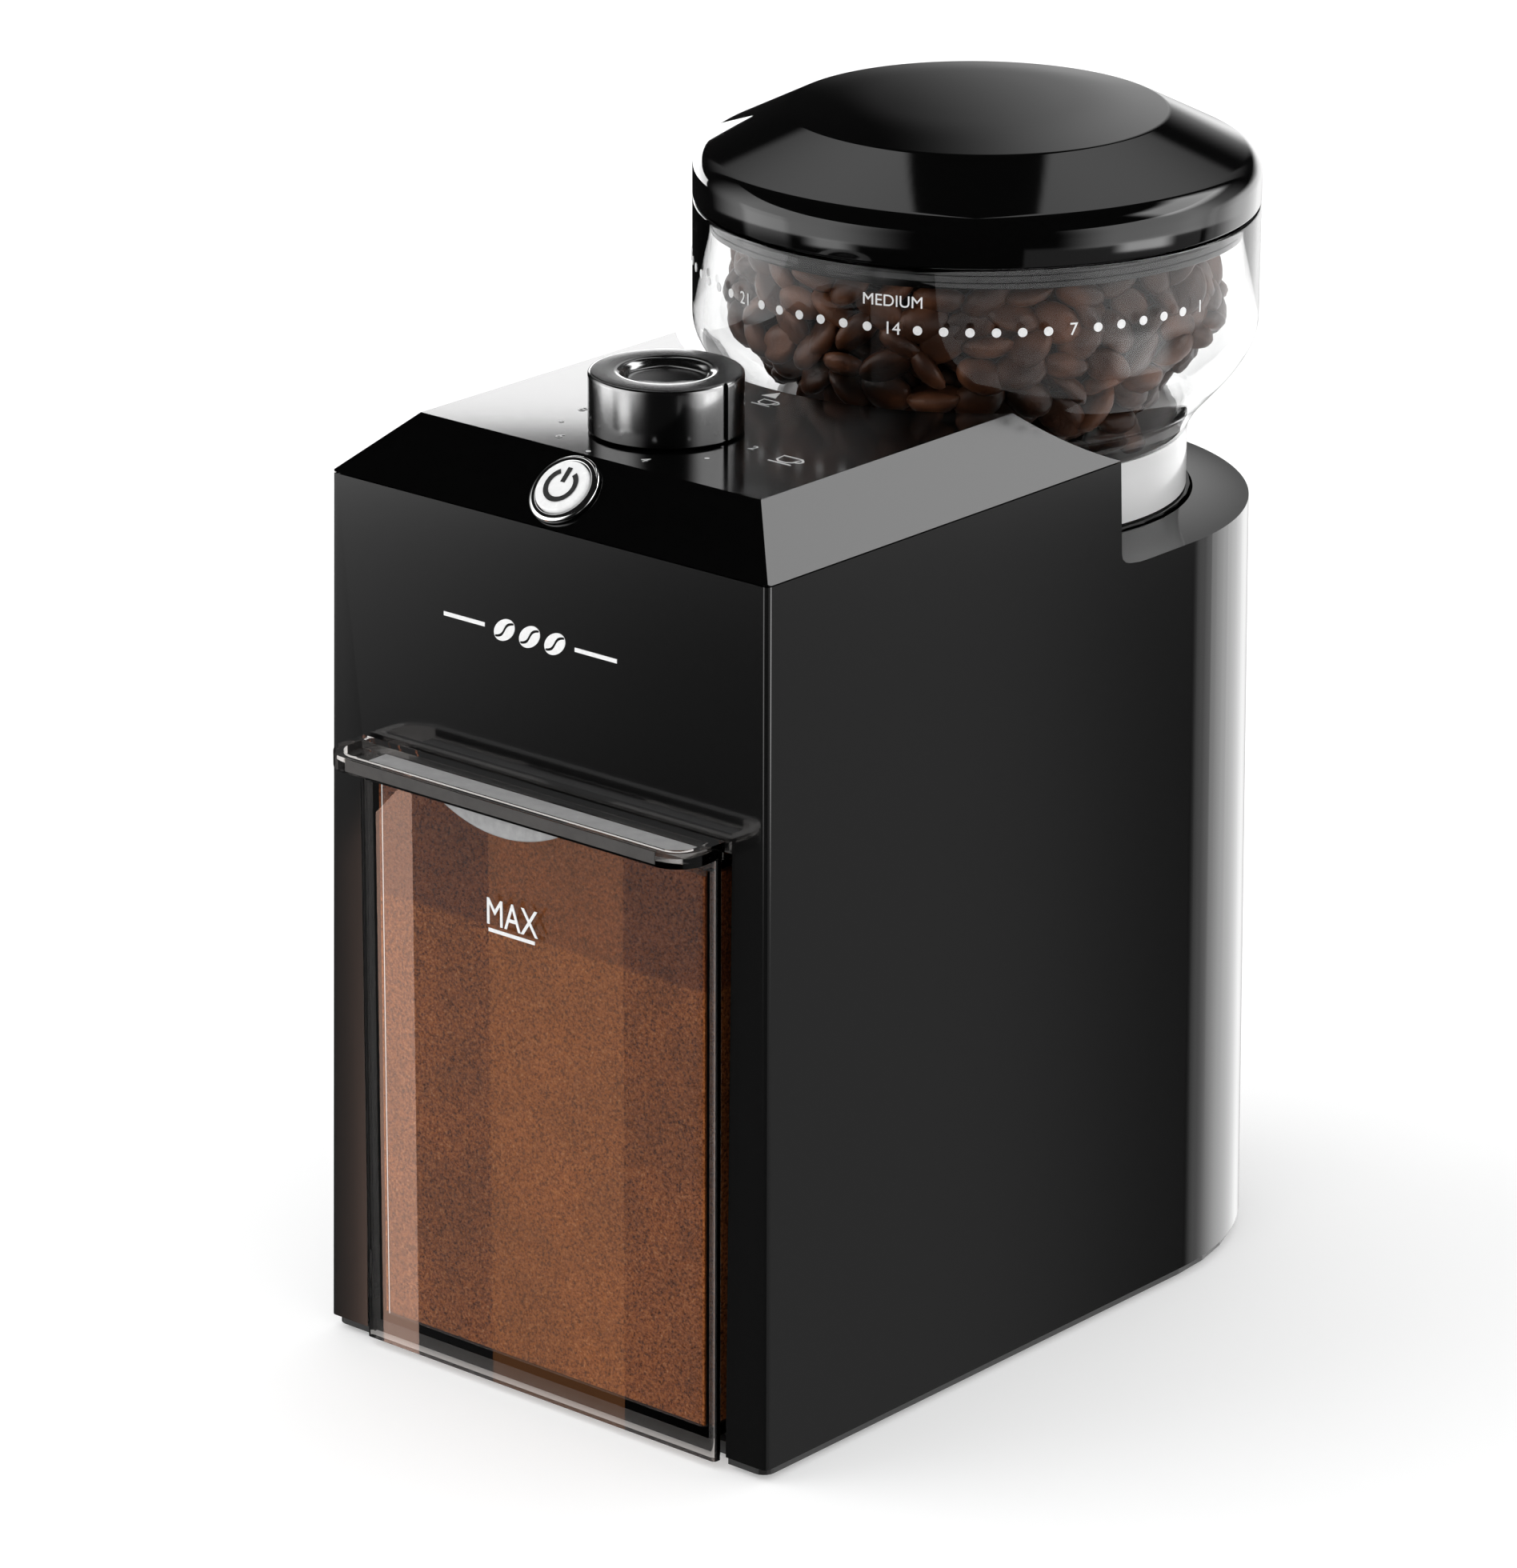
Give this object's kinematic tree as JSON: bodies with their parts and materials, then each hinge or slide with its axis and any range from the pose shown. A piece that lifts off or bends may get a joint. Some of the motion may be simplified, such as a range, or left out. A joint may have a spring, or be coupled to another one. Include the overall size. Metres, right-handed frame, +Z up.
{
  "type": "burr coffee grinder",
  "caption": "Compact electric burr coffee grinder with a clear lift-off bean hopper that turns to set the grind, a pull-out grounds drawer, a cup dial and a power button.",
  "frame": {"origin": "the middle of the base, on the worktop, under the centre of the bounding box", "axes": "+Z up; -Y is the front, where the grounds drawer pulls out; +X is the right-hand side as seen from the front"},
  "size_m": [0.1246, 0.2168, 0.2596],
  "materials": {
    "body_plastic": "satin black moulding",
    "gloss_black": "polished black moulding",
    "lid_plastic": "polished dark grey moulding",
    "dial_plastic": "satin dark grey moulding",
    "clear_plastic": "clear moulding",
    "smoked_plastic": "smoky clear moulding",
    "inner_plastic": "plain moulded plastic",
    "white_plastic": "plain moulded plastic",
    "chrome": "bright plated",
    "burr_steel": "ground steel",
    "zinc_steel": "zinc plated steel",
    "can_steel": "drawn steel",
    "magnet_black": "dull black",
    "copper": "wound copper",
    "bronze": "sintered bronze",
    "gear_plastic": "natural nylon",
    "board_green": "printed circuit board",
    "rubber": "matt rubber",
    "carbon": "pressed carbon"
  },
  "bodies": {
    "housing": {"body_housing": "body_plastic", "top_cover": "gloss_black", "base_plate": "inner_plastic", "foot_front_left": "rubber", "foot_front_right": "rubber", "foot_rear_left": "rubber", "foot_rear_right": "rubber", "base_screw_1": "zinc_steel", "base_screw_2": "zinc_steel", "base_screw_3": "zinc_steel", "base_screw_4": "zinc_steel", "cord_gland": "rubber", "drawer_bay": "inner_plastic", "container_switch": "magnet_black", "gearbox_case": "inner_plastic", "burr_chamber": "inner_plastic", "chamber_screw_1": "zinc_steel", "chamber_screw_2": "zinc_steel", "chamber_screw_3": "zinc_steel", "discharge_chute": "inner_plastic", "hopper_switch": "magnet_black", "spindle_bush_lower": "bronze", "spindle_bush_upper": "bronze", "motor_can": "can_steel", "motor_end_bell": "magnet_black", "motor_damper": "rubber", "magnet_left": "magnet_black", "magnet_right": "magnet_black", "motor_bush_top": "bronze", "motor_bush_bottom": "bronze", "brush_left": "carbon", "brush_right": "carbon", "dial_potentiometer": "can_steel", "control_board": "board_green", "board_screw_1": "zinc_steel", "board_screw_2": "zinc_steel", "button_bezel": "chrome", "start_switch": "magnet_black"},
    "grounds_drawer": {"grounds_container": "smoked_plastic", "container_lid": "smoked_plastic"},
    "power_button": {"power_button": "chrome", "button_spring": "zinc_steel"},
    "cup_dial": {"cup_dial": "dial_plastic", "dial_shaft": "zinc_steel"},
    "grind_ring": {"adjust_ring": "gloss_black"},
    "hopper": {"hopper": "clear_plastic"},
    "hopper_lid": {"hopper_lid": "lid_plastic", "lid_gasket": "rubber"},
    "upper_burr_set": {"burr_carrier": "inner_plastic", "upper_burr": "burr_steel"},
    "burr_spindle": {"spindle_shaft": "zinc_steel", "drive_gear": "gear_plastic", "impeller": "white_plastic", "lower_burr": "burr_steel", "burr_nut": "zinc_steel"},
    "motor_rotor": {"motor_shaft": "zinc_steel", "armature": "copper", "commutator": "copper", "cooling_fan": "white_plastic", "motor_pinion": "bronze"}
  },
  "joints": [
    {"name": "drawer_slide", "type": "slide", "parent": "housing", "child": "grounds_drawer", "axis": [0, -1, 0], "range_m": [0, 0.11]},
    {"name": "button_press", "type": "slide", "parent": "housing", "child": "power_button", "axis": [0, 0.6819, -0.7314], "range_m": [0, 0.0016], "stiffness_N_per_m": 900, "springref_m": -0.001},
    {"name": "cup_dial_turn", "type": "hinge", "parent": "housing", "child": "cup_dial", "pos_m": [0, -0.0555, 0.21], "axis": [0, 0, 1], "range_deg": [-180, 85]},
    {"name": "grind_turn", "type": "hinge", "parent": "housing", "child": "grind_ring", "pos_m": [0, 0.0461, 0.168], "axis": [0, 0, 1], "range_deg": [-89, 49.5]},
    {"name": "hopper_lift", "type": "slide", "parent": "grind_ring", "child": "hopper", "axis": [0, 0, 1], "range_m": [0, 0.06]},
    {"name": "lid_lift", "type": "slide", "parent": "hopper", "child": "hopper_lid", "axis": [0, 0, 1], "range_m": [0, 0.05]},
    {"name": "burr_feed", "type": "slide", "parent": "grind_ring", "child": "upper_burr_set", "axis": [0, 0, 1], "range_m": [-0.0011, 0.0007]},
    {"name": "motor_spin", "type": "hinge", "parent": "housing", "child": "motor_rotor", "pos_m": [0, 0.0764, 0.075], "axis": [0, 0, 1], "continuous": true},
    {"name": "burr_spin", "type": "hinge", "parent": "housing", "child": "burr_spindle", "pos_m": [0, 0.0461, 0.14], "axis": [0, 0, 1], "continuous": true}
  ],
  "couplings": [
    {"joint": "burr_feed", "follows": "grind_turn", "m_per_rad": 0.0006366},
    {"joint": "burr_spin", "follows": "motor_spin", "ratio": -0.33333}
  ]
}
